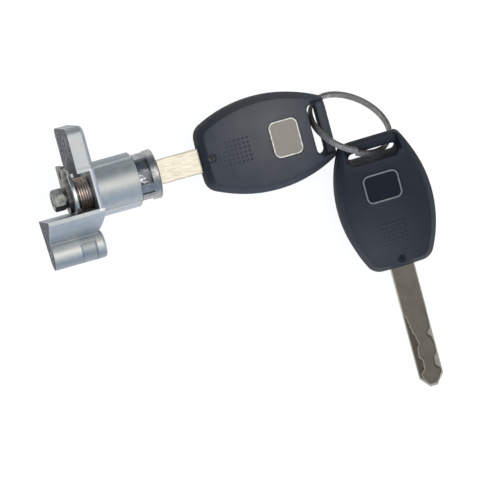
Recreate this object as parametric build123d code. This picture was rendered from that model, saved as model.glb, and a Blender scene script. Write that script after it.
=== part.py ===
from build123d import *
from math import ceil, cos, radians, sin, sqrt
import os

# Boot lock cylinder with one key in it and a spare key on the same split ring.
# Millimetres. +X runs along the lock's axis towards the key, +Y up the ear, +Z out of the near side.
# The origin is on the lock's axis, in the flange's front face.

# Housing casting: flange with its ear
flange_thickness = 6.4
ear_top = 24.3
near_side = 11.5
far_side = 15.3
ear_corner_radius = 3.2
ear_front_round = 1.8
casting_wall = 1.75
recess_radius = 13.9
ear_groove_width = 0.45
ear_groove_depth = 0.3
screw_spacing = 38.0
screw_hole_radius = 1.9
ear_pocket_depth = 2.6

# Housing casting: lower block with the screw boss
shelf_top = 6.1
shelf_thickness = 1.45
block_length = 21.1
block_back = 9.0
web_foot_height = 14.4
web_foot_depth = 3.0
web_nose_back = 3.2
boss_radius = 5.0
boss_front_gap = 1.6
boss_end_round = 1.3
boss_band_depth = 0.3
boss_band_start = 10.6
boss_band_end = 5.3

# Housing casting: barrel and neck
barrel_length = 15.0
barrel_radius = 9.3
land_radius = 10.0
land_half_angle = 33.0
land_end_round = 0.8
neck_radius = 8.1
neck_window_start = 0.4
neck_windows = ((14.0, 50.0), (-17.0, 10.0))

# Pressed cap on the neck
cap_front = 22.8
cap_radius = 9.0
cap_rim_length = 2.9
cap_sheet = 0.6
cap_edge_round = 0.55
cap_mouth_radius = 6.3
cap_tab_radius = 8.75
cap_tab_end_gap = 0.35
cap_tabs = ((51.0, 84.0), (-38.0, -18.0), (-68.0, -43.0), (160.0, 200.0))

# Plug and its running clearances
plug_radius = 7.35
running_clearance = 0.05
hub_radius = 5.1
tail_radius = 3.0
tail_flat = 2.1
stud_radius = 1.95
loose_clearance = 0.2

# Wafers, side bar and shutter
wafer_count = 8
wafer_pitch = 2.4
first_wafer_x = 18.2
wafer_thickness = 0.9
wafer_width = 7.6
wafer_height = 12.4
wafer_slot_clearance = 0.06
keyway_clearance = 0.15
side_bar_length = 18.6
side_bar_width = 1.6
side_bar_root = 4.3
wafer_notch_depth = 0.5
comb_width = 3.8
comb_sheet = 0.25
comb_finger_width = 0.7
shutter_x = 20.6
shutter_thickness = 0.5
shutter_depth = 2.4
shutter_eye_radius = 0.75
shutter_pin_radius = 0.5
shutter_room_length = 1.6

# Return spring, disc, lever and nut on the plug's tail
spring_wire = 0.72
spring_pitch = 0.76
spring_coil_radius = 5.6
spring_turns = 4.5
spring_front = 2.2
spring_leg = 5.2
disc_radius = 10.6
disc_thickness = 1.5
disc_front = 8.1
disc_tab_width = 2.2
disc_tab_thickness = 1.5
disc_tab_reach = 2.6
lever_thickness = 1.2
lever_half_width = 5.7
lever_top = 11.5
lever_corner = 1.1
rod_hole_radius = 1.6
rod_hole_height = 8.2
washer_radius = 3.7
washer_thickness = 0.6
nut_across_flats = 7.0
nut_length = 4.4
nut_chamfer = 0.55
stud_clearance = 0.01

# Key blade
blade_width = 8.9
blade_thickness = 2.8
blade_length = 47.2
blade_tip_taper = 3.6
blade_tip_flat = 2.9
track_depth = 0.75
track_start = 20.5
track_step = 2.4
track_flat = 1.0
track_tip_length = 2.4
track_tip_slope = 0.48
upper_track = (3.8, 3.9, 3.5, 2.3, 3.5, 4.0, 3.6, 2.3, 2.2, 3.7)
lower_track = (3.4, 3.1, 2.7, 2.0, 1.6, 2.5, 2.7, 1.7, 1.9, 3.4)
tang_length = 13.0
tang_width = 6.6

# Key head, measured from its blade end unless a name says otherwise
head_length = 49.2
head_half_width = 17.2
head_widest_share = 0.494
head_blade_end_half = 10.7
head_ring_end_half = 10.8
head_end_bulge = 0.4
head_ring_end_bulge = 0.9
head_blade_corner = 5.5
head_ring_corner = 3.2
shell_height = 5.6
shell_bevel_height = 2.4
shell_bevel_inset = 2.3
shell_slope_length = 11.8
shell_end_height = 3.1
shell_pocket_clearance = 0.1
ring_slot_width = 3.7
loop_bar_depth = 4.3
ring_slot_length = 18.0
loop_bar_height = 1.95
loop_bar_edge = 0.6
loop_step_slope = 0.35
loop_bar_half = 9.3
loop_bar_inset = 0.4
badge_from_ring_end = 17.9
badge_length = 10.7
badge_width = 13.2
badge_corner = 2.4
badge_frame_width = 0.55
badge_depth = 0.7
badge_stand = 0.15
cover_screw_x = 3.6
cover_screw_head = 1.35
cover_screw_shank = 0.8
cover_screw_recess = 1.4
cover_screw_head_height = 0.8
chip_size = (11.0, 6.0, 3.0)
chip_x = 21.0

# Split ring
ring_radius = 15.2
ring_wire_width = 1.3
ring_wire_height = 0.92
ring_pitch = 0.97
ring_turns = 2
ring_ahead = 9.73
ring_aside = 1.71
ring_drop = 2.57
ring_normal_azimuth = 59.9
ring_normal_elevation = 40.2
ring_start_angle = 100.0

# How the keys lie
key_insertion = 30.7
spare_ahead = 3.42
spare_aside = 7.79
spare_rise = 7.87
spare_yaw = 92.5
spare_pitch = 11.65
spare_roll = -5.9

# Worked out from the sizes above
main_key_x = cap_front + blade_length - key_insertion
bore_radius = plug_radius + running_clearance
cap_back = cap_front - cap_rim_length
ring_slot_start = head_length - loop_bar_depth - ring_slot_width
bar_x = head_length - loop_bar_depth / 2
shelf_low = shelf_top + shelf_thickness
keyway_half = blade_thickness / 2 + keyway_clearance


def rod(x0, x1, radius):
    aligned = (Align.CENTER, Align.CENTER, Align.MIN)
    return Plane.YZ.offset(x0) * Cylinder(radius, x1 - x0, align=aligned)


def section_prism(sketch, x0, x1):
    return extrude(Plane.YZ.offset(x0) * sketch, amount=x1 - x0, dir=(1, 0, 0))


def wedge(from_angle, to_angle, reach):
    """A sector about the axis, with its angles counted from +Z towards +Y."""
    steps = ceil((to_angle - from_angle) / 30)
    angles = [from_angle + (to_angle - from_angle) * i / steps for i in range(steps + 1)]
    rim = [(reach * sin(radians(a)), reach * cos(radians(a))) for a in angles]
    return Polygon((0, 0), *rim, align=None)


def chamfered_rod(x0, x1, radius, chamfer_length):
    body = rod(x0, x1, radius)
    return chamfer(body.edges().filter_by(GeomType.CIRCLE), chamfer_length)


# Housing
def flange():
    outline = Pos(0, (near_side - far_side) / 2) * Rectangle(
        ear_top + shelf_low, near_side + far_side, align=(Align.MIN, Align.CENTER)
    )
    plate = section_prism(Pos(-shelf_low, 0) * outline, -flange_thickness, 0)
    corners = plate.edges().filter_by(Axis.X).sort_by(Axis.Y)[-2:]
    plate = fillet(corners, ear_corner_radius)
    front_top = plate.faces().sort_by(Axis.X)[-1].edges().sort_by(Axis.Y)[-1]
    return fillet(front_top, ear_front_round)


def block():
    section = Polygon(
        (-shelf_top, -block_back),
        (-shelf_top, near_side),
        (-shelf_low, near_side),
        (-web_foot_height, web_foot_depth),
        (-screw_spacing / 2, 0),
        (-screw_spacing / 2, -boss_radius),
        align=None,
    )
    web = section_prism(section, -block_length, 0)
    foot = -screw_spacing / 2
    nose = ThreePointArc(
        (0, -shelf_low),
        (-0.3 * web_nose_back, -shelf_low - 0.5 * (web_foot_height - shelf_low)),
        (-web_nose_back, -web_foot_height),
    )
    rest = Polyline(
        (-web_nose_back, -web_foot_height),
        (-web_nose_back, foot - boss_radius),
        (-block_length, foot - boss_radius),
        (-block_length, 0),
        (0, 0),
        (0, -shelf_low),
    )
    side = extrude(make_face([nose, rest]), amount=far_side, both=True)
    return web & side


def screw_boss():
    boss = rod(-block_length, -boss_front_gap, boss_radius)
    front = boss.faces().sort_by(Axis.X)[-1].edges()
    boss = fillet(front, boss_end_round)
    return Pos(0, -screw_spacing / 2, 0) * boss


def boss_band():
    """The shallow band on the near side of the boss."""
    band = rod(-boss_band_start, -boss_band_end, boss_radius + 1)
    band -= rod(-boss_band_start, -boss_band_end, boss_radius - boss_band_depth)
    near_half = Pos(0, -boss_radius, boss_radius) * Box(
        4 * block_length, 3 * boss_radius, 2 * boss_radius
    )
    return Pos(0, -screw_spacing / 2, 0) * (band & near_half)


def barrel():
    core = rod(0, barrel_length, barrel_radius)
    lands = rod(0, barrel_length, land_radius)
    lands = fillet(lands.faces().sort_by(Axis.X)[-1].edges(), land_end_round)
    reach = 2 * land_radius
    upper = wedge(90 - land_half_angle, 90 + land_half_angle, reach)
    lower = wedge(270 - land_half_angle, 270 + land_half_angle, reach)
    keep = section_prism(upper, 0, barrel_length) + section_prism(lower, 0, barrel_length)
    return core + (lands & keep)


def ear_pockets():
    """Two cored pockets in the back of the ear, with a rib and the screw hole between them."""
    width = (near_side + far_side) / 2 - screw_hole_radius - 3 * casting_wall
    low = recess_radius + casting_wall
    height = ear_top - low - casting_wall
    pocket = RectangleRounded(height, width, 1.0)
    centre_y = low + height / 2
    near_z = near_side - casting_wall - width / 2
    far_z = -far_side + casting_wall + width / 2
    both = Pos(centre_y, near_z) * pocket + Pos(centre_y, far_z) * pocket
    return section_prism(both, -flange_thickness, -flange_thickness + ear_pocket_depth)


def housing():
    body = flange() + block() + screw_boss() + barrel()
    body += rod(0, cap_front - cap_sheet - running_clearance, neck_radius)
    recess = section_prism(Circle(recess_radius), -flange_thickness, -casting_wall)
    above_shelf = Pos(0, -shelf_top + 2 * recess_radius, 0) * Box(
        4 * recess_radius, 4 * recess_radius, 4 * recess_radius
    )
    body -= recess & above_shelf
    disc_room = loose_clearance * 2
    body -= rod(-disc_front - disc_thickness - disc_room, -disc_front + disc_room, disc_radius + disc_room)
    body -= rod(0, cap_front, bore_radius)
    body -= rod(-casting_wall, 0, hub_radius + running_clearance)
    body -= side_bar_track()
    for low, high in neck_windows:
        window = wedge(low, high, 2 * neck_radius)
        body -= section_prism(window, barrel_length + neck_window_start, cap_back)
    hole_x = -block_length
    for side in (-1, 1):
        body -= Pos(0, side * screw_spacing / 2, 0) * rod(hole_x, 0, screw_hole_radius)
    body -= boss_band()
    body -= ear_pockets()
    groove_y = sqrt(recess_radius ** 2 - near_side ** 2) + casting_wall - ear_groove_width
    groove = Pos(-flange_thickness, groove_y, near_side - ear_groove_depth) * Box(
        flange_thickness, ear_groove_width, ear_groove_depth, align=(Align.MIN, Align.MIN, Align.MIN)
    )
    return body - groove


def side_bar_track():
    """Groove in the bore that the side bar drops into when the key is out."""
    length = side_bar_length + 2 * loose_clearance
    x0 = first_wafer_x + wafer_pitch / 2 - length
    groove = Pos(x0, 0, plug_radius - 1) * Box(
        length,
        side_bar_width + 2 * running_clearance,
        neck_radius - plug_radius + 0.4,
        align=(Align.MIN, Align.CENTER, Align.MIN),
    )
    return groove


# Pressed cap
def nose_cap():
    shell = rod(cap_back, cap_front, cap_radius)
    shell = fillet(shell.faces().sort_by(Axis.X)[-1].edges(), cap_edge_round)
    tabs = rod(barrel_length + cap_tab_end_gap, cap_back + cap_sheet, cap_tab_radius)
    for index, (low, high) in enumerate(cap_tabs):
        sector = section_prism(wedge(low, high, 2 * cap_radius), barrel_length, cap_front - cap_sheet)
        shell += tabs & sector
    shell -= rod(0, cap_front - cap_sheet, neck_radius + running_clearance)
    return shell - rod(0, 2 * cap_front, cap_mouth_radius)


# Key blade outline, shared with the plug's keyway
def blade_outline(extra=0.0, reach=0.0):
    half = blade_width / 2 + extra
    tip = blade_tip_flat / 2 + extra
    return Polygon(
        (reach, half),
        (reach, -half),
        (-blade_length + blade_tip_taper - extra, -half),
        (-blade_length - extra, -tip),
        (-blade_length - extra, tip),
        (-blade_length + blade_tip_taper - extra, half),
        align=None,
    )


def keyway():
    outline = Pos(main_key_x, 0) * blade_outline(keyway_clearance)
    return extrude(outline, amount=keyway_half, both=True)


# Plug
def wafer_x(index):
    return first_wafer_x - index * wafer_pitch


def plug():
    body = rod(running_clearance, cap_front - cap_sheet - running_clearance, plug_radius)
    body += rod(cap_front - 2 * cap_sheet, cap_front - running_clearance, cap_mouth_radius - loose_clearance)
    body += rod(-disc_front, running_clearance, hub_radius)
    tail_end = -disc_front - disc_thickness - lever_thickness - washer_thickness
    body += section_prism(tail_section(), tail_end, -disc_front)
    stud = rod(tail_end - nut_length + loose_clearance, tail_end, stud_radius)
    body += chamfer(stud.faces().sort_by(Axis.X)[0].edges(), 0.4)
    body -= keyway()
    slot_length = wafer_thickness + 2 * wafer_slot_clearance
    slot_width = wafer_width + 2 * wafer_slot_clearance
    for index in range(wafer_count):
        body -= Pos(wafer_x(index), 0, 0) * Box(slot_length, 4 * plug_radius, slot_width)
    body -= side_bar_channel()
    body -= comb_channel()
    return body - shutter_room()


def tail_section(extra=0.0):
    flats = Rectangle(4 * tail_radius, 2 * (tail_flat + extra))
    return Circle(tail_radius + extra) & flats


def side_bar_start():
    return first_wafer_x + wafer_pitch / 2 - side_bar_length - loose_clearance


def side_bar_channel():
    return Pos(side_bar_start() - loose_clearance, 0, wafer_width / 2 - wafer_notch_depth) * Box(
        side_bar_length + 2 * loose_clearance,
        side_bar_width + 2 * running_clearance,
        plug_radius,
        align=(Align.MIN, Align.CENTER, Align.MIN),
    )


def wafer(index):
    plate = RectangleRounded(wafer_height, wafer_width, 0.8)
    window = Rectangle(blade_width + 2 * keyway_clearance, blade_thickness + 2 * keyway_clearance)
    notch = Pos(0, wafer_width / 2) * Rectangle(
        side_bar_width + 2 * wafer_slot_clearance, 2 * wafer_notch_depth
    )
    x0 = wafer_x(index) - wafer_thickness / 2
    return section_prism(plate - window - notch, x0, x0 + wafer_thickness)


def side_bar():
    """Bar with a fin that drops into the wafers' notches."""
    top = sqrt(plug_radius ** 2 - (side_bar_width / 2) ** 2) - running_clearance
    root = side_bar_root
    fin = side_bar_width / 4
    fin_low = wafer_width / 2 - wafer_notch_depth + wafer_slot_clearance
    section = Polygon(
        (-side_bar_width / 2, root),
        (-side_bar_width / 2, top),
        (side_bar_width / 2, top),
        (side_bar_width / 2, root),
        (fin, root),
        (fin / 2, fin_low),
        (-fin / 2, fin_low),
        (-fin, root),
        align=None,
    )
    return section_prism(section, side_bar_start(), side_bar_start() + side_bar_length)


def comb_back():
    return sqrt(plug_radius ** 2 - (comb_width / 2) ** 2) - loose_clearance


def comb_ends():
    last = wafer_x(wafer_count - 1)
    return last - wafer_pitch / 4, first_wafer_x + wafer_pitch / 4


def comb_channel():
    x0, x1 = comb_ends()
    return Pos(x0 - loose_clearance, 0, -wafer_width / 2 - wafer_slot_clearance) * Box(
        x1 - x0 + 2 * loose_clearance,
        comb_width + loose_clearance,
        plug_radius,
        align=(Align.MIN, Align.CENTER, Align.MAX),
    )


def wafer_spring_comb():
    """Leaf strip on the far side, with one finger bearing on each wafer."""
    x0, x1 = comb_ends()
    strip = Pos(x0, 0, -comb_back()) * Box(
        x1 - x0, comb_width, comb_sheet, align=(Align.MIN, Align.CENTER, Align.MIN)
    )
    rise = comb_back() - wafer_width / 2 - 2 * wafer_slot_clearance
    for index in range(wafer_count):
        finger = Pos(wafer_x(index), comb_width / 4, -comb_back()) * Box(
            comb_finger_width, comb_sheet, rise, align=(Align.CENTER, Align.CENTER, Align.MIN)
        )
        strip += finger
    return strip


# Shutter behind the mouth, folded back against the keyway's far wall by the blade
def shutter_room():
    return Pos(shutter_x, 0, -keyway_half) * Box(
        shutter_room_length,
        blade_width,
        shutter_depth + shutter_eye_radius + loose_clearance / 4,
        align=(Align.CENTER, Align.CENTER, Align.MAX),
    )


def shutter_axis():
    return Pos(shutter_x, 0, -keyway_half - shutter_depth) * Rot(90, 0, 0)


def shutter():
    width = blade_width - 3 * loose_clearance
    leaf = Pos(shutter_x, 0, -keyway_half - running_clearance) * Box(
        shutter_thickness, width, shutter_depth, align=(Align.CENTER, Align.CENTER, Align.MAX)
    )
    eye = shutter_axis() * Cylinder(shutter_eye_radius, width)
    return leaf + eye - shutter_axis() * Cylinder(shutter_pin_radius, blade_width)


def shutter_pin():
    return shutter_axis() * Cylinder(
        shutter_pin_radius - running_clearance, blade_width - loose_clearance / 2
    )


# Pieces on the tail
def torsion_spring():
    """Close coil round the hub. Its front leg bears on the shelf and its rear leg on the disc's tab."""
    height = spring_pitch * spring_turns
    path = Helix(spring_pitch, height, spring_coil_radius)
    wire = RegularPolygon(spring_wire / 2, 8)
    first = Plane(origin=path @ 0, z_dir=path % 0) * wire
    last = Plane(origin=path @ 1, z_dir=path % 1) * wire
    coil = sweep(first, path=path, is_frenet=True)
    coil += extrude(first, amount=-spring_leg)
    coil += extrude(last, amount=spring_leg)
    start = (-spring_front - spring_wire / 2, 0, 0)
    return Plane(origin=start, x_dir=(0, -1, 0), z_dir=(-1, 0, 0)) * coil


def driver_disc():
    body = rod(-disc_front - disc_thickness, -disc_front, disc_radius)
    body = chamfer(body.edges().filter_by(GeomType.CIRCLE), 0.25)
    tab = Pos(
        -disc_front - disc_thickness / 2,
        spring_coil_radius + spring_wire / 2 + running_clearance,
        -spring_leg,
    ) * Box(
        disc_tab_reach + disc_thickness / 2,
        disc_tab_thickness,
        disc_tab_width,
        align=(Align.MIN, Align.MIN, Align.CENTER),
    )
    hole = section_prism(tail_section(running_clearance), -2 * disc_radius, 0)
    return body + tab - hole


def lever_x0():
    return -disc_front - disc_thickness - lever_thickness


def lever():
    round_end = Circle(shelf_top - loose_clearance)
    arm = Pos(lever_top / 2, 0) * Rectangle(lever_top, 2 * lever_half_width)
    outline = round_end & Rectangle(4 * shelf_top, 2 * lever_half_width)
    outline += arm
    tips = outline.vertices().sort_by(Axis.X)[-2:]
    outline = fillet(tips, lever_corner)
    outline -= tail_section(running_clearance)
    outline -= Pos(rod_hole_height, 0) * Circle(rod_hole_radius)
    return section_prism(outline, lever_x0(), lever_x0() + lever_thickness)


def lock_washer():
    back = lever_x0() - washer_thickness
    ring = rod(back, back + washer_thickness, washer_radius)
    return ring - section_prism(tail_section(running_clearance), back, 0)


def hex_nut():
    back = lever_x0() - washer_thickness - nut_length
    corner = nut_across_flats / sqrt(3)
    body = section_prism(RegularPolygon(corner, 6), back, back + nut_length)
    body &= chamfered_rod(back, back + nut_length, corner, nut_chamfer)
    return body - rod(back - 1, 0, stud_radius + stud_clearance)


# Keys, each drawn with its blade along -X from the head's end at X = 0 and its badge facing +Z
def track_land():
    upper = [(-blade_length, blade_tip_flat / 2)]
    lower = [(-blade_length, -blade_tip_flat / 2)]
    shoulder = blade_tip_flat / 2 + track_tip_slope * track_tip_length
    upper.append((-blade_length + track_tip_length, shoulder))
    lower.append((-blade_length + track_tip_length, -shoulder))
    for index in reversed(range(len(upper_track))):
        x = -track_start - index * track_step
        for end in (x - track_flat / 2, x + track_flat / 2):
            upper.append((end, upper_track[index]))
            lower.append((end, -lower_track[index]))
    half = blade_width / 2
    upper.append((-track_start + track_step, half))
    lower.append((-track_start + track_step, -half))
    outline = upper + [(0, half), (0, -half)] + lower[::-1]
    return Polygon(*outline, align=None)


def key_blade():
    core = extrude(blade_outline(), amount=blade_thickness / 2 - track_depth, both=True)
    land = blade_outline() & track_land()
    near = extrude(land, amount=blade_thickness / 2)
    far = Rot(180, 0, 0) * near
    tang = Box(tang_length, tang_width, blade_thickness, align=(Align.MIN, Align.CENTER, Align.CENTER))
    return core + near + far + tang


def head_outline():
    widest = head_length * head_widest_share
    upper_blade = (head_end_bulge, head_blade_end_half)
    lower_blade = (head_end_bulge, -head_blade_end_half)
    upper_ring = (head_length - head_ring_end_bulge, head_ring_end_half)
    lower_ring = (head_length - head_ring_end_bulge, -head_ring_end_half)
    outline = make_face(
        [
            ThreePointArc(lower_blade, (0, 0), upper_blade),
            ThreePointArc(upper_blade, (widest, head_half_width), upper_ring),
            ThreePointArc(upper_ring, (head_length, 0), lower_ring),
            ThreePointArc(lower_ring, (widest, -head_half_width), lower_blade),
        ]
    )
    corners = outline.vertices().sort_by(Axis.X)
    outline = fillet(corners[:2], head_blade_corner)
    corners = outline.vertices().sort_by(Axis.X)
    return fillet(corners[-2:], head_ring_corner)


def shell_crown():
    """Side view that thins the shell towards the ring's end."""
    flat_end = (head_length - shell_slope_length, shell_height)
    top = Line((-1, shell_height), flat_end)
    drop = TangentArc(flat_end, (head_length + 1, shell_end_height), tangent=(1, 0))
    rest = Polyline((head_length + 1, shell_end_height), (head_length + 1, 0), (-1, 0), (-1, shell_height))
    profile = Plane.XZ * make_face([top, drop, rest])
    return extrude(profile, amount=2 * head_half_width, both=True)


def ring_slot():
    centre_x = ring_slot_start + ring_slot_width / 2
    slot = Pos(centre_x, 0) * Rot(0, 0, 90) * SlotOverall(ring_slot_length, ring_slot_width)
    return extrude(slot, amount=2 * shell_height, both=True)


def loop_bar_cut():
    """Lowers the bar beyond the slot and breaks its edges, so the ring can pass over it."""
    inner = ring_slot_start + ring_slot_width
    outer = head_length - loop_bar_inset
    low = loop_bar_height - loop_bar_edge
    profile = Polygon(
        (inner - ring_slot_width / 2, low),
        (inner, low),
        (inner + loop_bar_edge, loop_bar_height),
        (outer - loop_bar_edge, loop_bar_height),
        (outer, low),
        (outer, -1),
        (head_length + 1, -1),
        (head_length + 1, shell_height + 1),
        (inner - ring_slot_width / 2, shell_height + 1),
        align=None,
    )
    low_part = extrude(Plane.XZ * profile, amount=loop_bar_half, both=True)
    top_half = loop_bar_half + loop_step_slope * (shell_height - loop_bar_height)
    sloped = Polygon(
        (loop_bar_half, loop_bar_height),
        (top_half, shell_height),
        (-top_half, shell_height),
        (-loop_bar_half, loop_bar_height),
        align=None,
    )
    return low_part + section_prism(sloped, inner - ring_slot_width / 2, head_length + 1)


def tang_pocket():
    gap = shell_pocket_clearance
    return Pos(-gap, 0, 0) * Box(
        tang_length + 2 * gap,
        tang_width + 2 * gap,
        blade_thickness + 2 * gap,
        align=(Align.MIN, Align.CENTER, Align.CENTER),
    )


def chip_pocket():
    gap = 2 * shell_pocket_clearance
    return Pos(chip_x, 0, 0) * Box(chip_size[0] + gap, chip_size[1] + gap, chip_size[2] + gap)


def key_shell():
    body = extrude(head_outline(), amount=shell_height)
    top = body.faces().sort_by(Axis.Z)[-1]
    body = chamfer(top.edges(), shell_bevel_inset, shell_bevel_height, reference=top)
    body &= shell_crown()
    body -= ring_slot()
    body -= loop_bar_cut()
    body -= tang_pocket()
    return body - chip_pocket()


def badge_outline(extra=0.0):
    outline = RectangleRounded(badge_length + 2 * extra, badge_width + 2 * extra, badge_corner + extra)
    return Pos(head_length - badge_from_ring_end, 0, shell_height - badge_depth) * outline


def key_back_shell():
    shell = key_shell()
    shell -= extrude(badge_outline(running_clearance), amount=2 * badge_depth)
    shell -= Pos(cover_screw_x, 0, shell_height) * Cylinder(
        cover_screw_head + running_clearance, 2 * cover_screw_recess
    )
    return shell - Pos(cover_screw_x, 0, 0) * Cylinder(
        cover_screw_shank + running_clearance, 2 * shell_height
    )


def key_front_shell():
    return Rot(180, 0, 0) * key_shell()


def key_badge_insert():
    return extrude(badge_outline(-badge_frame_width), amount=badge_depth)


def key_badge_frame():
    frame = badge_outline() - badge_outline(-badge_frame_width)
    return extrude(frame, amount=badge_depth + badge_stand)


def key_cover_screw():
    head_low = shell_height - cover_screw_recess
    head = Pos(cover_screw_x, 0, head_low) * Cylinder(
        cover_screw_head, cover_screw_head_height, align=(Align.CENTER, Align.CENTER, Align.MIN)
    )
    arm = 1.1 * cover_screw_head
    cross = Box(arm, arm / 4, arm) + Box(arm / 4, arm, arm)
    head -= Pos(cover_screw_x, 0, head_low + cover_screw_head_height) * cross
    shank = Pos(cover_screw_x, 0, head_low) * Cylinder(
        cover_screw_shank, head_low - blade_thickness / 2, align=(Align.CENTER, Align.CENTER, Align.MAX)
    )
    return head + shank


def key_transponder():
    chip = Pos(chip_x, 0, 0) * Box(*chip_size)
    return fillet(chip.edges().filter_by(Axis.X), 0.5)


def key_pieces():
    return {
        "blade": key_blade(),
        "front_shell": key_front_shell(),
        "back_shell": key_back_shell(),
        "badge_insert": key_badge_insert(),
        "badge_frame": key_badge_frame(),
        "cover_screw": key_cover_screw(),
        "transponder": key_transponder(),
    }


def main_key_place():
    return Location((main_key_x, 0, 0))


def spare_key_place():
    turned = Location((0, 0, 0), (0, 0, spare_yaw)) * Location((0, 0, 0), (0, -spare_pitch, 0))
    turned *= Location((0, 0, 0), (spare_roll, 0, 0))
    ring_x, ring_y, ring_z = ring_centre()
    bar = Location((ring_x + spare_ahead, ring_y - spare_aside, ring_z + spare_rise))
    return bar * turned * Location((-bar_x, 0, 0))


# Split ring
def ring_centre():
    return main_key_x + bar_x + ring_ahead, -ring_aside, -ring_drop


def split_ring():
    azimuth = radians(ring_normal_azimuth)
    rise = radians(ring_normal_elevation)
    normal = (cos(rise) * cos(azimuth), cos(rise) * sin(azimuth), sin(rise))
    path = Helix(ring_pitch, ring_pitch * ring_turns, ring_radius)
    section = Plane(origin=path @ 0, z_dir=path % 0, x_dir=(1, 0, 0)) * Rectangle(
        ring_wire_width, ring_wire_height
    )
    coil = sweep(section, path=path, is_frenet=True)
    level = Pos(0, 0, -ring_pitch * ring_turns / 2)
    seat = Plane(origin=ring_centre(), x_dir=(-normal[1], normal[0], 0), z_dir=normal)
    return seat * Rot(0, 0, ring_start_angle) * level * coil


def write(name, solid):
    export_step(solid, f"parts/{name}.step")


os.makedirs("parts", exist_ok=True)
write("housing", housing())
write("nose_cap", nose_cap())
write("torsion_spring", torsion_spring())
write("plug", plug())
for number in range(wafer_count):
    write(f"wafer_{number + 1}", wafer(number))
write("wafer_spring_comb", wafer_spring_comb())
write("side_bar", side_bar())
write("shutter", shutter())
write("shutter_pin", shutter_pin())
write("driver_disc", driver_disc())
write("lever", lever())
write("lock_washer", lock_washer())
write("hex_nut", hex_nut())
for key, place in (("main_key", main_key_place()), ("spare_key", spare_key_place())):
    for name, solid in key_pieces().items():
        write(f"{key}_{name}", place * solid)
write("split_ring", split_ring())
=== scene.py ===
import bpy
import bmesh
from math import cos, pi, radians, sin
from mathutils import Matrix, Vector


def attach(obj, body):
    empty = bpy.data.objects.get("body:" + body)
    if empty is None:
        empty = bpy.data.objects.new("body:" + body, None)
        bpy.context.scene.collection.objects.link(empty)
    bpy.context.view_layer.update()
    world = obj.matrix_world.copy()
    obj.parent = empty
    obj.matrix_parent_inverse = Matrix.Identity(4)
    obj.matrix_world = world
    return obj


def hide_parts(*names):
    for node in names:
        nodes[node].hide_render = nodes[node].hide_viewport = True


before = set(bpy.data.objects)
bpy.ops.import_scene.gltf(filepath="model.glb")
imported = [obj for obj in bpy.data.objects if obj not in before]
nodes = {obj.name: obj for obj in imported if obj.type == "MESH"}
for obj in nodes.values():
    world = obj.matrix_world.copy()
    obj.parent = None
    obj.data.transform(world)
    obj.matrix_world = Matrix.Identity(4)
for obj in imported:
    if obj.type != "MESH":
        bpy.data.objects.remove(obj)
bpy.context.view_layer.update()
mm = 0.001
print("frame loaded:", len(nodes), "nodes")


# shader building
def newFinish(name, colour, metallic, roughness):
    finish = bpy.data.materials.new(name)
    finish.use_nodes = True
    tree = finish.node_tree
    shader = tree.nodes["Principled BSDF"]
    shader.inputs["Base Color"].default_value = (*colour, 1)
    shader.inputs["Metallic"].default_value = metallic
    shader.inputs["Roughness"].default_value = roughness
    finish.diffuse_color = (*colour, 1)
    return finish, tree, shader


def addNode(tree, kind, inputs=None, **settings):
    node = tree.nodes.new("ShaderNode" + kind)
    for key, value in settings.items():
        setattr(node, key, value)
    for key, value in (inputs or {}).items():
        if isinstance(value, bpy.types.NodeSocket):
            tree.links.new(value, node.inputs[key])
        else:
            node.inputs[key].default_value = value
    return node


def restCoords(tree, place=None):  # metres in the row frame, or in a piece's own frame
    coords = addNode(tree, "TexCoord").outputs["Object"]
    if place is None:
        return coords
    back = place.inverted()
    turned = addNode(tree, "Mapping", {
        "Vector": coords,
        "Rotation": back.to_euler(),
        "Location": back.to_translation(),
    })
    return turned.outputs["Vector"]


def noiseAt(tree, coords, size, detail=3.0, stretch=(1, 1, 1), roughness=0.5):  # size in millimetres
    scaled = addNode(tree, "Mapping", {"Vector": coords, "Scale": [s / (size * mm) for s in stretch]})
    noise = addNode(tree, "TexNoise", {
        "Vector": scaled.outputs["Vector"],
        "Scale": 1.0,
        "Detail": detail,
        "Roughness": roughness,
    })
    return noise.outputs["Fac"]


def ramp(tree, value, low, high, toLow=0.0, toHigh=1.0):
    node = addNode(tree, "MapRange", {
        "Value": value,
        "From Min": low,
        "From Max": high,
        "To Min": toLow,
        "To Max": toHigh,
    })
    return node.outputs["Result"]


def calc(tree, operation, a, b=0.0):
    node = addNode(tree, "Math", operation=operation)
    for index, value in enumerate((a, b)):
        if isinstance(value, bpy.types.NodeSocket):
            tree.links.new(value, node.inputs[index])
        else:
            node.inputs[index].default_value = value
    return node.outputs[0]


def product(tree, value, *others):
    for other in others:
        value = calc(tree, "MULTIPLY", value, other)
    return value


def largest(tree, value, *others):
    for other in others:
        value = calc(tree, "MAXIMUM", value, other)
    return value


def within(tree, value, low, high):  # 1 between the limits, 0 outside
    return product(tree, calc(tree, "GREATER_THAN", value, low), calc(tree, "LESS_THAN", value, high))


def mixColour(tree, factor, a, b, blend="MIX"):
    node = addNode(tree, "Mix", data_type="RGBA", blend_type=blend)
    for socket, value in ((node.inputs[0], factor), (node.inputs[6], a), (node.inputs[7], b)):
        if isinstance(value, bpy.types.NodeSocket):
            tree.links.new(value, socket)
        elif isinstance(value, (int, float)):
            socket.default_value = value
        else:
            socket.default_value = (*value, 1)
    return node.outputs[2]


def tinted(tree, factor, tone, tint):  # tone multiplied by tint, as far as factor says
    return mixColour(tree, factor, tone, mixColour(tree, 1.0, tone, tint, "MULTIPLY"))


def dimmed(colour, share):
    return [part * share for part in colour]


def axisPart(tree, vector, axis):
    return addNode(tree, "SeparateXYZ", {"Vector": vector}).outputs[axis]


def alongAxis(tree, coords, axis):  # millimetres
    return product(tree, axisPart(tree, coords, axis), 1 / mm)


def distanceFrom(tree, value, other):
    return calc(tree, "ABSOLUTE", calc(tree, "SUBTRACT", value, other))


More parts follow.
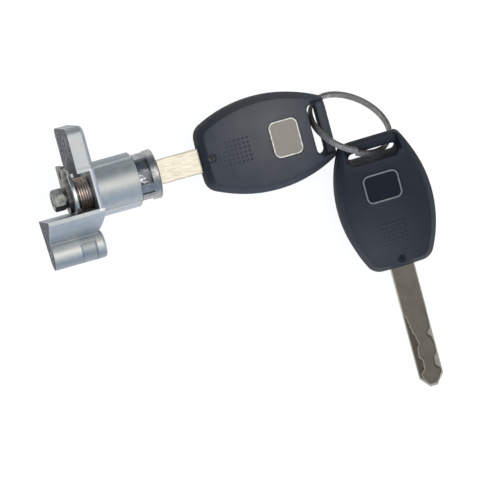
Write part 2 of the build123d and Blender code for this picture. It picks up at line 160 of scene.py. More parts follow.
def flatLength(tree, x, y):
    vector = addNode(tree, "CombineXYZ", {"X": x, "Y": y}).outputs[0]
    return addNode(tree, "VectorMath", {0: vector}, operation="LENGTH").outputs["Value"]


def faceNormal(tree):
    return addNode(tree, "TexCoord").outputs["Normal"]


def partNormal(tree, place):  # face normal turned into a piece's own frame, as it lies at rest
    back = place.inverted()
    turned = addNode(tree, "Mapping", {"Vector": faceNormal(tree), "Rotation": back.to_euler()})
    return turned.outputs["Vector"]


def edgeMask(tree, radius, reach=0.35):  # 1 along sharp edges, 0 on open faces
    soft = addNode(tree, "Bevel", {"Radius": radius * mm}, samples=6)
    plain = addNode(tree, "NewGeometry").outputs["Normal"]
    facing = addNode(tree, "VectorMath", {0: soft.outputs["Normal"], 1: plain}, operation="DOT_PRODUCT")
    return ramp(tree, facing.outputs["Value"], 1.0, 1.0 - reach)


def cornerShade(tree, reach, openShare=0.92, closedShare=0.45):  # 1 in inner corners, 0 in the open
    shade = addNode(tree, "AmbientOcclusion", {"Distance": reach * mm}, samples=8)
    return ramp(tree, shade.outputs["AO"], openShare, closedShare)


def paint(tree, shader, tone, roughness):
    tree.links.new(tone, shader.inputs["Base Color"])
    tree.links.new(roughness, shader.inputs["Roughness"])


def bumpFrom(tree, shader, height, depth, edge=0.0):  # depth and edge radius in millimetres
    bump = addNode(tree, "Bump", {"Height": height, "Distance": depth * mm, "Strength": 1.0})
    if edge:
        rounded = addNode(tree, "Bevel", {"Radius": edge * mm}, samples=6)
        tree.links.new(rounded.outputs["Normal"], bump.inputs["Normal"])
    tree.links.new(bump.outputs["Normal"], shader.inputs["Normal"])


def give(finish, *names):
    for name in names:
        slots = nodes[name].data.materials
        if not slots:
            slots.append(finish)
        for index in range(len(slots)):
            slots[index] = finish


# where the two keys lie, as the frame has them
keyLies = {
    "mainOrigin": (39.3, 0, 0),
    "spareBar": (99.5, -9.5, 5.3),
    "spareTurns": ((92.5, "Z"), (-11.65, "Y"), (-5.9, "X")),
    "spareOrigin": (-47.05, 0, 0),
}


def keyPlaces(lies):
    turned = Matrix.Identity(4)
    for degrees, axis in lies["spareTurns"]:
        turned = turned @ Matrix.Rotation(radians(degrees), 4, axis)
    toBar = Matrix.Translation(Vector(lies["spareBar"]) * mm)
    toOrigin = Matrix.Translation(Vector(lies["spareOrigin"]) * mm)
    return {
        "main_key": Matrix.Translation(Vector(lies["mainOrigin"]) * mm),
        "spare_key": toBar @ turned @ toOrigin,
    }


places = keyPlaces(keyLies)


# housing casting: a range runs from, to, and then the two results where they aren't 0 and 1
castZinc = {
    "light": (0.615, 0.62, 0.605),
    "dark": (0.525, 0.54, 0.545),
    "metallic": 0.92,
    "plainRoughness": 0.42,
    "roughness": (0.3, 0.7, 0.47, 0.56),
    "blotchSize": 2.6,
    "blotchRange": (0.35, 0.65),
    "grainSize": 0.32,
    "grainDepth": 0.018,
    "rounding": 0.16,
    "streakSize": 0.5,
    "streakStretch": (0.12, 1, 1),
    "streakRange": (0.3, 0.7, 0.0, 0.22),
    "warmTint": (1.035, 1.015, 0.975),
    "coolTint": (0.955, 0.985, 1.02),
    "tintSize": 3.4,
    "tintRoughness": 0.62,
    "tintRange": (0.38, 0.62),
    # painted shade tint for the band, the boss's underside and the neck
    "recessShade": (0.60, 0.64, 0.68),
    "bossBandX": (-10.6, -5.3),
    "bossBandTop": -17.2,
    "bandFade": 0.5,
    "bandShare": 0.55,
    "bandLine": (0.42, 0.15),
    "bossUnderside": (-20.0, -22.6, 0.0, 0.9),
    "neckStart": 15.3,
    "neckRadius": 8.4,
    "webHead": (-7.0, -7.8),
    "webFoot": (-15.0, -14.4),
    # painted shade tint for the web under the barrel
    "webShade": (0.90, 0.94, 1.0),
    "bossHead": (-15.0, -14.4, 1.0, 0.0),
    "bossFaceX": (-10.4, -11.0),
    "bossFaceEnd": -4.9,
    "bossFaceLow": (-21.6, -20.4),
    # painted highlight tint for the boss's faces
    "bossHighlight": (1.22, 1.20, 1.16),
    "upperNormal": (0.52, 0.86),
    "upperShade": (0.56, 0.60, 0.64),
    "rearNormal": (-0.55, -0.95),
    "rearFrom": (-3.0, -5.0),
    # painted shade on the rear-facing faces, with lighter blotches
    "rearShade": (0.060, 0.064, 0.066),
    "rearPatch": (0.165, 0.17, 0.175),
    "rearSize": 1.1,
    "rearRange": (0.38, 0.74),
    "rearRoughness": 0.12,
    # bare metal on worn edges, also used as painted highlight on the step and rim
    "wornEdgeAndHighlight": (0.93, 0.93, 0.92),
    "wornWidth": 0.38,
    "wornRange": (0.25, 0.6, 0.5, 0.85),
    "stepRadii": (9.40, 9.95),
    "stepX": (0.3, 14.6),
    "rimX": (-1.9, 0.1),
    "rimY": (-7.0, 8.5),
    "rimZ": (9.0, 9.6, 0.0, 0.75),
}


def makeCastZinc(name, look):
    finish, tree, shader = newFinish(name, look["light"], look["metallic"], look["plainRoughness"])
    coords = restCoords(tree)
    x, y, z = (alongAxis(tree, coords, axis) for axis in "XYZ")
    away = calc(tree, "SQRT", calc(tree, "ADD", product(tree, y, y), product(tree, z, z)))
    blotch = noiseAt(tree, coords, look["blotchSize"], detail=4)
    grain = noiseAt(tree, coords, look["grainSize"], detail=2)
    streak = noiseAt(tree, coords, look["streakSize"], stretch=look["streakStretch"])
    tone = mixColour(tree, ramp(tree, blotch, *look["blotchRange"]), look["dark"], look["light"])
    tone = mixColour(tree, ramp(tree, streak, *look["streakRange"]), tone, look["light"])
    tintNoise = noiseAt(tree, coords, look["tintSize"], detail=5, roughness=look["tintRoughness"])
    tint = mixColour(tree, ramp(tree, tintNoise, *look["tintRange"]), look["coolTint"], look["warmTint"])
    tone = mixColour(tree, 1.0, tone, tint, "MULTIPLY")

    # painted shade: the boss's shallow band, its edge lines and underside, and the neck behind the cap are
    # darkened
    bandBack, bandFront = look["bossBandX"]
    lowEnough = calc(tree, "LESS_THAN", y, look["bossBandTop"])
    fromBack = ramp(tree, x, bandBack, bandBack + look["bandFade"])
    fromFront = ramp(tree, x, bandFront, bandFront - look["bandFade"])
    inBand = product(tree, fromBack, fromFront, lowEnough)
    toEdge = calc(tree, "MINIMUM", *(distanceFrom(tree, x, end) for end in look["bossBandX"]))
    line = product(tree, ramp(tree, toEdge, *look["bandLine"]), lowEnough)
    pastHead = calc(tree, "GREATER_THAN", x, look["neckStart"])
    onNeck = product(tree, pastHead, calc(tree, "LESS_THAN", away, look["neckRadius"]))
    under = ramp(tree, y, *look["bossUnderside"])
    dull = largest(tree, product(tree, inBand, look["bandShare"]), under, line, onNeck)
    for mask in (dull, onNeck, line):  # the neck and the band's edges twice over
        tone = tinted(tree, mask, tone, look["recessShade"])

    # painted shade: the web under the barrel is darker and cooler; painted highlight: the boss's own faces
    # are lighter
    onWeb = product(tree, ramp(tree, y, *look["webHead"]), ramp(tree, y, *look["webFoot"]))
    tone = tinted(tree, onWeb, tone, look["webShade"])
    pastBand = calc(tree, "GREATER_THAN", x, look["bossFaceEnd"])
    besideBand = largest(tree, ramp(tree, x, *look["bossFaceX"]), pastBand)
    onBoss = product(tree, ramp(tree, y, *look["bossHead"]), besideBand, ramp(tree, y, *look["bossFaceLow"]))
    tone = tinted(tree, onBoss, tone, look["bossHighlight"])

    # painted shade: the upper-facing sides are greyer and darker, and the rear-facing faces are dark with
    # random lighter blotches
    normal = faceNormal(tree)
    upper = ramp(tree, axisPart(tree, normal, "Y"), *look["upperNormal"])
    tone = tinted(tree, upper, tone, look["upperShade"])
    facingBack = ramp(tree, axisPart(tree, normal, "X"), *look["rearNormal"])
    rear = product(tree, facingBack, ramp(tree, x, *look["rearFrom"]))
    rearBlotch = ramp(tree, noiseAt(tree, coords, look["rearSize"], detail=4), *look["rearRange"])
    rearShadeTone = mixColour(tree, rearBlotch, look["rearShade"], look["rearPatch"])
    tone = mixColour(tree, rear, tone, rearShadeTone)

    # bare metal on worn edges; painted highlights on the barrel's step and the recess's rim
    worn = product(tree, edgeMask(tree, look["wornWidth"]), ramp(tree, grain, *look["wornRange"]))
    onStep = product(tree, within(tree, away, *look["stepRadii"]), within(tree, x, *look["stepX"]))
    onRim = product(tree, within(tree, x, *look["rimX"]), within(tree, y, *look["rimY"]))
    onRim = product(tree, onRim, ramp(tree, z, *look["rimZ"]))
    tone = mixColour(tree, largest(tree, worn, onStep, onRim), tone, look["wornEdgeAndHighlight"])
    rough = ramp(tree, blotch, *look["roughness"])
    paint(tree, shader, tone, calc(tree, "ADD", rough, product(tree, rear, look["rearRoughness"])))
    bumpFrom(tree, shader, grain, look["grainDepth"], edge=look["rounding"])
    return finish


give(makeCastZinc("castZinc", castZinc), "housing")
print("housing finished")


# turned, pressed and rolled steel
steelGrain = {
    "cloudSize": 1.7,
    "cloudRange": (0.36, 0.68),
    "spunSize": 0.6,
    "spunStretch": (9, 0.5, 0.5),
    "rolledSize": 0.4,
    "rolledStretch": (1, 0.25, 1.6),
    "fineRange": (0.35, 0.75, 0, 0.35),
    "edgeWidth": 0.16,
    "edgeShare": 0.8,
    "cloudRough": (0.3, 0.7),
    "roughSpread": (0.12, -0.06),
    "depth": 0.006,
    "rounding": 0.1,
}
steelPieces = {
    "noseCap": {
        "names": ["nose_cap"],
        "colour": (0.37, 0.36, 0.345),
        "dark": (0.23, 0.232, 0.235),
        "edge": (0.78, 0.8, 0.82),
        "rough": 0.34,
        "spun": True,
    },
    "shadedPlugBody": {
        # painted shade: the plug is coloured dark for the shade inside the neck's windows
        "names": ["plug", "side_bar"],
        "colour": (0.20, 0.215, 0.245),
        "dark": (0.09, 0.10, 0.12),
        "edge": (0.66, 0.67, 0.69),
        "rough": 0.38,
        "spun": True,
        "windowGlints": {
            "tone": (0.80, 0.80, 0.80),
            "size": 1.5,
            "stretch": (0.7, 1.4, 1.4),
            "range": (0.56, 0.62),
            "fromX": (14.0, 15.0),
            "belowY": (3.5, 0.0, 0.15, 1.0),
        },
    },
    "driverDisc": {
        "names": ["driver_disc"],
        "colour": (0.50, 0.515, 0.52),
        "dark": (0.40, 0.415, 0.42),
        "edge": (0.93, 0.93, 0.92),
        "rough": 0.24,
        "spun": True,
    },
    "leverPlate": {
        "names": ["lever"],
        "colour": (0.19, 0.18, 0.16),
        "dark": (0.11, 0.104, 0.095),
        "edge": (0.42, 0.41, 0.38),
        "rough": 0.46,
    },
    "nutAndWasher": {
        "names": ["hex_nut", "lock_washer"],
        "colour": (0.17, 0.173, 0.165),
        "dark": (0.11, 0.113, 0.108),
        "edge": (0.52, 0.52, 0.50),
        "rough": 0.36,
    },
    "combAndShutter": {
        "names": ["wafer_spring_comb", "shutter", "shutter_pin"],
        "colour": (0.40, 0.41, 0.42),
        "dark": (0.25, 0.26, 0.27),
        "edge": (0.7, 0.7, 0.7),
        "rough": 0.35,
    },
    "waferBrass": {
        "names": [f"wafer_{n}" for n in range(1, 9)],
        "colour": (0.55, 0.44, 0.22),
        "dark": (0.32, 0.25, 0.12),
        "edge": (0.8, 0.7, 0.45),
        "rough": 0.32,
    },
}


def makeSteel(name, look):
    finish, tree, shader = newFinish(name, look["colour"], 1.0, look["rough"])
    coords = restCoords(tree)
    cloud = noiseAt(tree, coords, steelGrain["cloudSize"], detail=4)
    run = "spun" if look.get("spun") else "rolled"  # fine rings round the lock's axis, or rolling lines
    fine = noiseAt(tree, coords, steelGrain[run + "Size"], detail=4, stretch=steelGrain[run + "Stretch"])
    tone = mixColour(tree, ramp(tree, cloud, *steelGrain["cloudRange"]), look["dark"], look["colour"])
    tone = mixColour(tree, ramp(tree, fine, *steelGrain["fineRange"]), tone, look["edge"])
    if "upper" in look:  # painted shade: greyer and darker where the metal faces the ear's side
        facing = axisPart(tree, faceNormal(tree), "Y")
        tone = tinted(tree, ramp(tree, facing, *look["upper"]["normal"]), tone, look["upper"]["tint"])
    if "windowGlints" in look:  # painted glints: bright patches in the neck's windows
        windowGlints = look["windowGlints"]
        patchNoise = noiseAt(tree, coords, windowGlints["size"], detail=2, stretch=windowGlints["stretch"])
        patch = ramp(tree, patchNoise, *windowGlints["range"])
        pastStart = ramp(tree, alongAxis(tree, coords, "X"), *windowGlints["fromX"])
        below = ramp(tree, alongAxis(tree, coords, "Y"), *windowGlints["belowY"])
        tone = mixColour(tree, product(tree, patch, pastStart, below), tone, windowGlints["tone"])
    worn = product(tree, edgeMask(tree, steelGrain["edgeWidth"]), steelGrain["edgeShare"])
    tone = mixColour(tree, worn, tone, look["edge"])
    rough = (look["rough"] + change for change in steelGrain["roughSpread"])
    paint(tree, shader, tone, ramp(tree, cloud, *steelGrain["cloudRough"], *rough))
    bumpFrom(tree, shader, fine, steelGrain["depth"], edge=steelGrain["rounding"])
    return finish


for title, look in steelPieces.items():
    give(makeSteel(title, look), *look["names"])
print("lock metals finished")


# return spring: round wire in place of the eight-sided one
springWire = {
    "wireRadius": 0.41,
    "coilRadius": 5.6,
    "pitch": 0.92,
    "turns": 4.5,
    "firstX": -2.56,
    "leg": 5.1,
    "pointsPerTurn": 40,
    "copper": (0.95, 0.79, 0.70),
    "tarnish": (0.64, 0.51, 0.44),
    "rubbed": (0.90, 0.78, 0.70),
    "plainRoughness": 0.34,
    "roughness": (0.3, 0.7, 0.45, 0.28),
    "cloudSize": 1.2,
    "cloudRange": (0.35, 0.6),
    "lineSize": 0.25,
    "lineStretch": (2.5, 0.4, 0.4),
    "lineRange": (0.5, 0.8, 0, 0.4),
    "lineDepth": 0.004,
}


def springPath(look):
    radius = look["coilRadius"]
    path = [Vector((look["firstX"], -radius, -look["leg"]))]
    count = int(look["turns"] * look["pointsPerTurn"])
    for index in range(count + 1):
        turn = index / look["pointsPerTurn"]
        angle = 2 * pi * turn
        x = look["firstX"] - look["pitch"] * turn
        path.append(Vector((x, -radius * cos(angle), radius * sin(angle))))
    last = path[-1]
    path.append(Vector((last.x, last.y, -look["leg"])))
    return path


def tubeMesh(name, path, radius, sides=12):
    mesh = bmesh.new()
    rings = []
    for index, point in enumerate(path):
        before = path[max(index - 1, 0)]
        after = path[min(index + 1, len(path) - 1)]
        along = (after - before).normalized()
        side = along.cross(Vector((1, 0, 0))).normalized()
        up = side.cross(along).normalized()
        ring = []
        for step in range(sides):
            angle = 2 * pi * step / sides
            ring.append(mesh.verts.new((point + radius * (cos(angle) * side + sin(angle) * up)) * mm))
        rings.append(ring)
    for a, b in zip(rings, rings[1:]):
        for step in range(sides):
            face = mesh.faces.new((a[step], b[step], b[(step + 1) % sides], a[(step + 1) % sides]))
            face.smooth = True
    mesh.faces.new(rings[0])
    mesh.faces.new(reversed(rings[-1]))
    bmesh.ops.recalc_face_normals(mesh, faces=mesh.faces)
    data = bpy.data.meshes.new(name)
    mesh.to_mesh(data)
    mesh.free()
    piece = bpy.data.objects.new(name, data)
    bpy.context.scene.collection.objects.link(piece)
    return piece


def makeCopper(name, look):
    finish, tree, shader = newFinish(name, look["copper"], 1.0, look["plainRoughness"])
    coords = restCoords(tree)
    cloud = noiseAt(tree, coords, look["cloudSize"], detail=4)
    lines = noiseAt(tree, coords, look["lineSize"], detail=2, stretch=look["lineStretch"])
    tone = mixColour(tree, ramp(tree, cloud, *look["cloudRange"]), look["tarnish"], look["copper"])
    tone = mixColour(tree, ramp(tree, lines, *look["lineRange"]), tone, look["rubbed"])
    paint(tree, shader, tone, ramp(tree, cloud, *look["roughness"]))
    bumpFrom(tree, shader, lines, look["lineDepth"])
    return finish


coil = tubeMesh("returnSpringCoil", springPath(springWire), springWire["wireRadius"])
coil.data.materials.append(makeCopper("springCopper", springWire))
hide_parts("torsion_spring")
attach(coil, "housing")
print("spring wound")


# key blades
keyBlade = {
    "tones": {
        "main_key": {
            "metal": (0.62, 0.575, 0.485),
            "dull": (0.53, 0.49, 0.41),
            "edge": (0.27, 0.255, 0.22),
            "shadedWall": (0.22, 0.20, 0.17),
            # painted light and painted shade tones for the track floors
            "milled": (0.66, 0.62, 0.53),
            "shadedTrack": (0.40, 0.37, 0.31),
            "roughness": 0.36,
        },
        "spare_key": {
            # painted shade: the spare's blade metal is darker all over, for its darker reflections
            "metal": (0.290, 0.245, 0.188),
            "dull": (0.205, 0.172, 0.132),
            "edge": (0.88, 0.79, 0.63),
            # painted light and painted shade tones for the track floors
            "shadedWall": (0.07, 0.055, 0.04),
            "milled": (0.52, 0.46, 0.37),
            "shadedTrack": (0.16, 0.135, 0.105),
            "roughness": 0.34,
        },
    },
    "length": 47.2,
    "halfWidth": 4.45,
    "tipHalf": 1.45,
    "tipTaper": 3.6,
    "sideBorder": (0.50, 0.25, 0.0, 0.6),
    "tipBevel": (1.0, 0.75, 0.0, 0.75),
    "milledBelow": 0.95,
    "flatNormal": (0.6, 0.8),
    "trackInset": (0.3, 0.6),
    "wallWidth": 0.7,
    "wallReach": 0.2,
    "cornerReach": 0.7,
    "cornerShare": 0.3,
    "brushSize": 0.22,
    "brushStretch": (0.08, 1, 1),
    "brushRange": (0.4, 0.8, 0, 0.5),
    "brushDepth": 0.004,
    "rounding": 0.1,
    "cloudSize": 4.0,
    "cloudRange": (0.4, 0.7, 0, 0.6),
    "brushRough": (0.3, 0.7),
    "roughSpread": (-0.05, 0.1),
}


def makeBladeMetal(name, look, key, place):
    tones = look["tones"][key]
    finish, tree, shader = newFinish(name, tones["metal"], 1.0, tones["roughness"])
    coords = restCoords(tree, place)
    x, across, thickness = (alongAxis(tree, coords, axis) for axis in "XYZ")
    brush = noiseAt(tree, coords, look["brushSize"], stretch=look["brushStretch"])
    cloud = noiseAt(tree, coords, look["cloudSize"])
    tone = mixColour(tree, ramp(tree, cloud, *look["cloudRange"]), tones["metal"], tones["dull"])
    tone = mixColour(tree, ramp(tree, brush, *look["brushRange"]), tone, tones["dull"])

    # distance from the long sides, and from the tapered tip
    fromMiddle = calc(tree, "ABSOLUTE", across)
    toSide = calc(tree, "SUBTRACT", look["halfWidth"], fromMiddle)
    toEnd = calc(tree, "ADD", x, look["length"])
    slant = product(tree, toEnd, (look["halfWidth"] - look["tipHalf"]) / look["tipTaper"])
    toSlant = calc(tree, "SUBTRACT", calc(tree, "ADD", slant, look["tipHalf"]), fromMiddle)
    toTip = calc(tree, "MINIMUM", toEnd, toSlant)

    # milled tracks: painted shade on one half's floor and painted light on the other, with one wall in
    # painted shade and the other in painted highlight
    facing = axisPart(tree, partNormal(tree, place), "Z")
    flat = ramp(tree, calc(tree, "ABSOLUTE", facing), *look["flatNormal"])
    sunk = calc(tree, "LESS_THAN", calc(tree, "ABSOLUTE", thickness), look["milledBelow"])
    firstHalf = calc(tree, "GREATER_THAN", across, 0.0)
    trackLightAndShade = mixColour(tree, firstHalf, tones["milled"], tones["shadedTrack"])
    tone = mixColour(tree, product(tree, flat, sunk), tone, trackLightAndShade)
    inside = product(tree, *(ramp(tree, gap, *look["trackInset"]) for gap in (toSide, toTip)))
    walls = product(tree, edgeMask(tree, look["wallWidth"], look["wallReach"]), inside)
    tone = mixColour(tree, walls, tone, mixColour(tree, firstHalf, tones["shadedWall"], tones["edge"]))
    corners = cornerShade(tree, look["cornerReach"])
    tone = mixColour(tree, corners, tone, dimmed(tones["dull"], look["cornerShare"]))

    # painted light along the long sides and the tip bevel: painted shade on the main key, a painted
    # highlight on the spare
    border = largest(tree, ramp(tree, toSide, *look["sideBorder"]), ramp(tree, toTip, *look["tipBevel"]))
    tone = mixColour(tree, border, tone, tones["edge"])
    rough = (tones["roughness"] + change for change in look["roughSpread"])
    paint(tree, shader, tone, ramp(tree, brush, *look["brushRough"], *rough))
    bumpFrom(tree, shader, brush, look["brushDepth"], edge=look["rounding"])
    return finish


# key shells
shellPlastic = {
    "tones": {
        "main_key": {
            "face": (0.138, 0.135, 0.137),
            "shade": (0.055, 0.062, 0.079),
            "rubbed": (0.13, 0.13, 0.138),
            "glow": (27.0, 6.0, 22.0),
            "wall": 0.32,
            "bevel": 0.45,
        },
        "spare_key": {
            "face": (0.066, 0.070, 0.079),
            "shade": (0.020, 0.025, 0.036),
            "rubbed": (0.070, 0.076, 0.086),
            "glow": (7.0, 9.0, 26.0),
            "wall": 0.62,
            "bevel": 0.85,
        },
    },
    "roughness": 0.44,
    "roughRange": (0.3, 0.7),
    "roughSpread": (-0.04, 0.05),
    "wallRoughness": 0.35,
    "specular": 0.28,
    "grainSize": 0.16,
    "grainDepth": 0.010,
    "cloudSize": 6.0,
    "cloudShift": 6.0,
    "glowCore": 3.0,
    "rubbedSize": 2.0,
    "rubbedRange": (0.4, 0.7, 0.0, 0.45),
    "edgeWidth": 0.5,
    "rounding": 1.5,
    "wallNormal": (0.55, 0.15),
    "bevelNormal": (0.12, 0.5, 0.0, 0.8),
    "dotPitch": (1.6, 1.6),
    "dotRadius": 0.55,
    "dotTop": 0.25,
    "dotDepth": 0.16,
    "dotArea": (6.4, 18.4, 4.8),
    "dotFade": (0.3, 1.0),
    "dotShare": 0.7,
    "dotShade": 0.2,
}


def dotGrid(tree, x, y, look):  # rows of small domes in the key's own frame
    pitchX, pitchY = look["dotPitch"]
    cellX = calc(tree, "PINGPONG", x, pitchX / 2)
    cellY = calc(tree, "PINGPONG", calc(tree, "ADD", y, pitchY / 2), pitchY / 2)
    reach = flatLength(tree, cellX, cellY)
    dome = ramp(tree, reach, look["dotRadius"], look["dotRadius"] * look["dotTop"])
    startX, endX, halfY = look["dotArea"]
    fade = ramp(tree, x, startX, endX, *look["dotFade"])
    inRows = calc(tree, "LESS_THAN", calc(tree, "ABSOLUTE", y), halfY)
    return product(tree, dome, fade, within(tree, x, startX, endX), inRows)


def makeShellPlastic(name, look, key, place, dotted):
    tones = look["tones"][key]
    finish, tree, shader = newFinish(name, tones["face"], 0.0, look["roughness"])
    coords = restCoords(tree, place)
    x, y = (alongAxis(tree, coords, axis) for axis in "XY")
    grain = noiseAt(tree, coords, look["grainSize"], detail=2)
    cloud = noiseAt(tree, coords, look["cloudSize"])

    # painted highlight: a soft pool of light on the middle of the face, with an uneven outline, fading to
    # painted shade
    glowX, glowY, glowReach = tones["glow"]
    away = flatLength(tree, calc(tree, "SUBTRACT", x, glowX), calc(tree, "SUBTRACT", y, glowY))
    uneven = calc(tree, "ADD", away, product(tree, cloud, look["cloudShift"]))
    glow = ramp(tree, uneven, glowReach + look["glowCore"], look["glowCore"])
    tone = mixColour(tree, glow, tones["shade"], tones["face"])
    # lighter edges, partly rubbed plastic and partly painted highlight
    rubbed = ramp(tree, noiseAt(tree, coords, look["rubbedSize"]), *look["rubbedRange"])
    worn = product(tree, edgeMask(tree, look["edgeWidth"]), rubbed)
    tone = mixColour(tree, worn, tone, tones["rubbed"])

    # painted shade: the walls and the bevel on the far side are darker
    facing = partNormal(tree, place)
    wall = ramp(tree, calc(tree, "ABSOLUTE", axisPart(tree, facing, "Z")), *look["wallNormal"])
    tone = tinted(tree, wall, tone, (tones["wall"],) * 3)
    leaning = calc(tree, "SUBTRACT", axisPart(tree, facing, "Y"), axisPart(tree, facing, "X"))
    tone = tinted(tree, ramp(tree, leaning, *look["bevelNormal"]), tone, (tones["bevel"],) * 3)
    height = product(tree, grain, look["grainDepth"] / look["dotDepth"])
    if dotted:
        dots = dotGrid(tree, x, y, look)
        # painted shade in the dimples of the dot grid
        dotShadeTone = dimmed(tones["shade"], look["dotShade"])
        tone = mixColour(tree, product(tree, dots, look["dotShare"]), tone, dotShadeTone)
        height = calc(tree, "SUBTRACT", height, dots)
    spread = (look["roughness"] + change for change in look["roughSpread"])
    rough = ramp(tree, cloud, *look["roughRange"], *spread)
    paint(tree, shader, tone, calc(tree, "ADD", rough, product(tree, wall, look["wallRoughness"])))
    shader.inputs["Specular IOR Level"].default_value = look["specular"]
    bumpFrom(tree, shader, height, look["dotDepth"], edge=look["rounding"])
    return finish


# badge places stay bare
keyBadge = {
    "tones": {
        "main_key": {
            "fill": (0.26, 0.24, 0.222),
            "fillDark": (0.20, 0.183, 0.168),
            "rim": (0.50, 0.49, 0.475),
            "metallic": 0.85,
            "rough": 0.38,
            "specular": 0.5,
        },
        "spare_key": {
            "fill": (0.012, 0.016, 0.026),
            "fillDark": (0.008, 0.011, 0.018),
            "rim": (0.37, 0.375, 0.38),
            "metallic": 0.0,
            "rough": 0.5,
            "specular": 0.2,
        },
    },
    "brushSize": 0.18,
    "brushStretch": (1, 0.06, 1),
    "brushRange": (0.35, 0.7),
    "brushDepth": 0.003,
    "brushRough": (0.3, 0.7),
    "roughSpread": (-0.05, 0.1),
    "rounding": 0.1,
    "cloudSize": 3.0,
    "cloudRange": (0.4, 0.7, 0, 0.3),
    "rimRoughness": 0.3,
    "rimRough": (0.3, 0.7, 0.4, 0.28),
    "rimSize": 1.4,
    "rimRange": (0.35, 0.7),
    "rimShade": 0.75,
    "rimDepth": 0.01,
    "rimRounding": 0.18,
}


def makeBadgeFill(name, look, key, place):
    tones = look["tones"][key]
    finish, tree, shader = newFinish(name, tones["fill"], tones["metallic"], tones["rough"])
    coords = restCoords(tree, place)
    brush = noiseAt(tree, coords, look["brushSize"], stretch=look["brushStretch"])
    cloud = noiseAt(tree, coords, look["cloudSize"])
    tone = mixColour(tree, ramp(tree, brush, *look["brushRange"]), tones["fillDark"], tones["fill"])
    tone = mixColour(tree, ramp(tree, cloud, *look["cloudRange"]), tone, tones["fillDark"])
    rough = (tones["rough"] + change for change in look["roughSpread"])
    paint(tree, shader, tone, ramp(tree, brush, *look["brushRough"], *rough))
    shader.inputs["Specular IOR Level"].default_value = tones["specular"]
    bumpFrom(tree, shader, brush, look["brushDepth"], edge=look["rounding"])
    return finish


def makeBadgeRim(name, look, key, place):
    rim = look["tones"][key]["rim"]
    finish, tree, shader = newFinish(name, rim, 1.0, look["rimRoughness"])
    cloud = noiseAt(tree, restCoords(tree, place), look["rimSize"])
    tone = mixColour(tree, ramp(tree, cloud, *look["rimRange"]), dimmed(rim, look["rimShade"]), rim)
    paint(tree, shader, tone, ramp(tree, cloud, *look["rimRough"]))
    bumpFrom(tree, shader, cloud, look["rimDepth"], edge=look["rimRounding"])
    return finish


coverScrews = {
    "main_key": {
        "colour": (0.045, 0.047, 0.052),
        "dark": (0.022, 0.023, 0.026),
        "edge": (0.13, 0.13, 0.135),
        "rough": 0.38,
    },
    "spare_key": {
        "colour": (0.060, 0.065, 0.075),
        "dark": (0.040, 0.044, 0.052),
        "edge": (0.085, 0.09, 0.10),
        "rough": 0.5,
    },
}
chipCoat = {
    "colour": (0.04, 0.04, 0.045),
    "dark": (0.02, 0.02, 0.02),
    "edge": (0.1, 0.1, 0.1),
    "rough": 0.4,
}
chipFinish = makeSteel("chipCoat", chipCoat)

for key, place in places.items():
    title = "mainKey" if key == "main_key" else "spareKey"
    give(makeBladeMetal(title + "Blade", keyBlade, key, place), key + "_blade")
    give(makeShellPlastic(title + "BackPlastic", shellPlastic, key, place, True), key + "_back_shell")
    give(makeShellPlastic(title + "FrontPlastic", shellPlastic, key, place, False), key + "_front_shell")
    give(makeBadgeFill(title + "BadgeFill", keyBadge, key, place), key + "_badge_insert")
    give(makeBadgeRim(title + "BadgeRim", keyBadge, key, place), key + "_badge_frame")
    give(makeSteel(title + "ScrewSteel", coverScrews[key]), key + "_cover_screw")
    give(chipFinish, key + "_transponder")
    print(title, "finished")


# split ring
ringWire = {
    "colour": (0.50, 0.465, 0.43),
    "dark": (0.37, 0.345, 0.32),
    "edge": (0.62, 0.585, 0.55),
    "rough": 0.56,
    # painted shade on the side facing the ear
    "upper": {"tint": (0.40, 0.40, 0.40), "normal": (-0.4, 0.7)},
}
give(makeSteel("ringSteel", ringWire), "split_ring")
print("split ring finished")


# floor, light and camera
studio = {
    "centre": (0.05, -0.03),
    "floorReach": 1.6,
    "floorLow": -19.4,
    "floorTone": (0.42, 0.42, 0.42),
    "floorRoughness": 0.8,
    "floorSpecular": 0.1,
    "floorGlow": 0.84,
    "skyLow": (0.42, 0.53, 0.68),
    "skyHigh": (0.53, 0.515, 0.475),
    "skyDark": (0.165, 0.193, 0.230),
    "skySide": (-0.1, 0.75),
    "skyTop": (0.75, 0.97),
    "boxPower": 1.1,
    "boxTone": (1.0, 0.975, 0.93),
    "boxSize": 0.42,
    "boxPlace": (0.13, 0.06, 0.62),
}
camera = {
    "target": (48.6, -35.6, 0.0),
    "distance": 2400.0,
    "pixelsPerMm": 2.8,
    "picturePixels": 500,
    "sensorWidth": 36,
    "nearest": 0.01,
    "turn": 10.2,
    "tilt": 4.7,
    "roll": 15.75,
}


def makeFloor(look):
    mesh = bmesh.new()
    bmesh.ops.create_grid(mesh, x_segments=8, y_segments=8, size=look["floorReach"])
    data = bpy.data.meshes.new("studioFloor")
    mesh.to_mesh(data)
    mesh.free()
    floor = bpy.data.objects.new("studioFloor", data)
    floor.location = (*look["centre"], look["floorLow"] * mm)
    bpy.context.scene.collection.objects.link(floor)
    finish, tree, shader = newFinish("paleFloor", look["floorTone"], 0.0, look["floorRoughness"])
    shader.inputs["Specular IOR Level"].default_value = look["floorSpecular"]
    shader.inputs["Emission Color"].default_value = (1, 1, 1, 1)
    shader.inputs["Emission Strength"].default_value = look["floorGlow"]
    data.materials.append(finish)


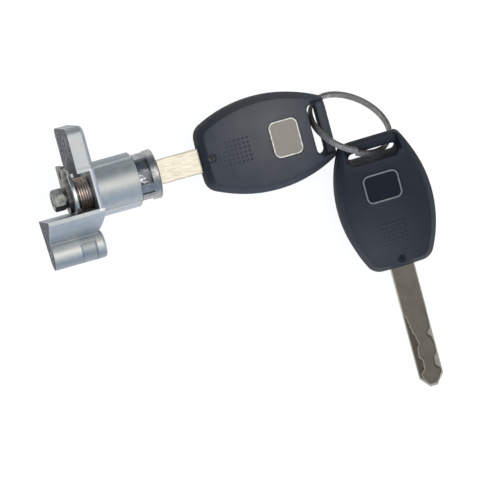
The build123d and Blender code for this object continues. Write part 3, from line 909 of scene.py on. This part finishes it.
def makeSky(look):  # dim blue-grey room, lighter towards the picture's lower side
    world = bpy.data.worlds.new("studioRoom")
    bpy.context.scene.world = world
    world.use_nodes = True
    tree = world.node_tree
    direction = addNode(tree, "TexCoord").outputs["Generated"]
    side = axisPart(tree, direction, "Y")
    tone = mixColour(tree, ramp(tree, side, *look["skySide"]), look["skyLow"], look["skyDark"])
    up = axisPart(tree, direction, "Z")
    tone = mixColour(tree, ramp(tree, up, *look["skyTop"]), tone, look["skyHigh"])
    background = tree.nodes["Background"]
    tree.links.new(tone, background.inputs["Color"])
    background.inputs["Strength"].default_value = 1.0


def makeSoftBox(look):
    light = bpy.data.lights.new("softBox", "AREA")
    light.shape = "SQUARE"
    light.size = look["boxSize"]
    light.energy = look["boxPower"]
    light.color = look["boxTone"]
    lamp = bpy.data.objects.new("softBox", light)
    lamp.location = look["boxPlace"]
    aim = Vector((*look["centre"], 0)) - Vector(look["boxPlace"])
    lamp.rotation_euler = aim.to_track_quat("-Z", "Y").to_euler()
    bpy.context.scene.collection.objects.link(lamp)


def makeCamera(look):
    turn, tilt, roll = (radians(look[key]) for key in ("turn", "tilt", "roll"))
    back = Vector((-sin(turn), cos(turn) * sin(tilt), cos(turn) * cos(tilt)))
    up = Vector((0, cos(tilt), -sin(tilt)))
    right = up.cross(back)
    tiltedUp = sin(roll) * right + cos(roll) * up
    tiltedRight = cos(roll) * right - sin(roll) * up
    view = Matrix((tiltedRight, tiltedUp, back)).transposed()
    data = bpy.data.cameras.new("overhead")
    width = look["picturePixels"] / look["pixelsPerMm"]
    data.sensor_width = look["sensorWidth"]
    data.lens = look["sensorWidth"] * look["distance"] / width
    data.clip_start = look["nearest"]
    eye = bpy.data.objects.new("overhead", data)
    stand = Vector(look["target"]) + back * look["distance"]
    eye.matrix_world = Matrix.Translation(stand * mm) @ view.to_4x4()
    bpy.context.scene.collection.objects.link(eye)
    bpy.context.scene.camera = eye


makeFloor(studio)
makeSky(studio)
makeSoftBox(studio)
makeCamera(camera)
bpy.context.scene.view_settings.view_transform = "Standard"
print("studio set")
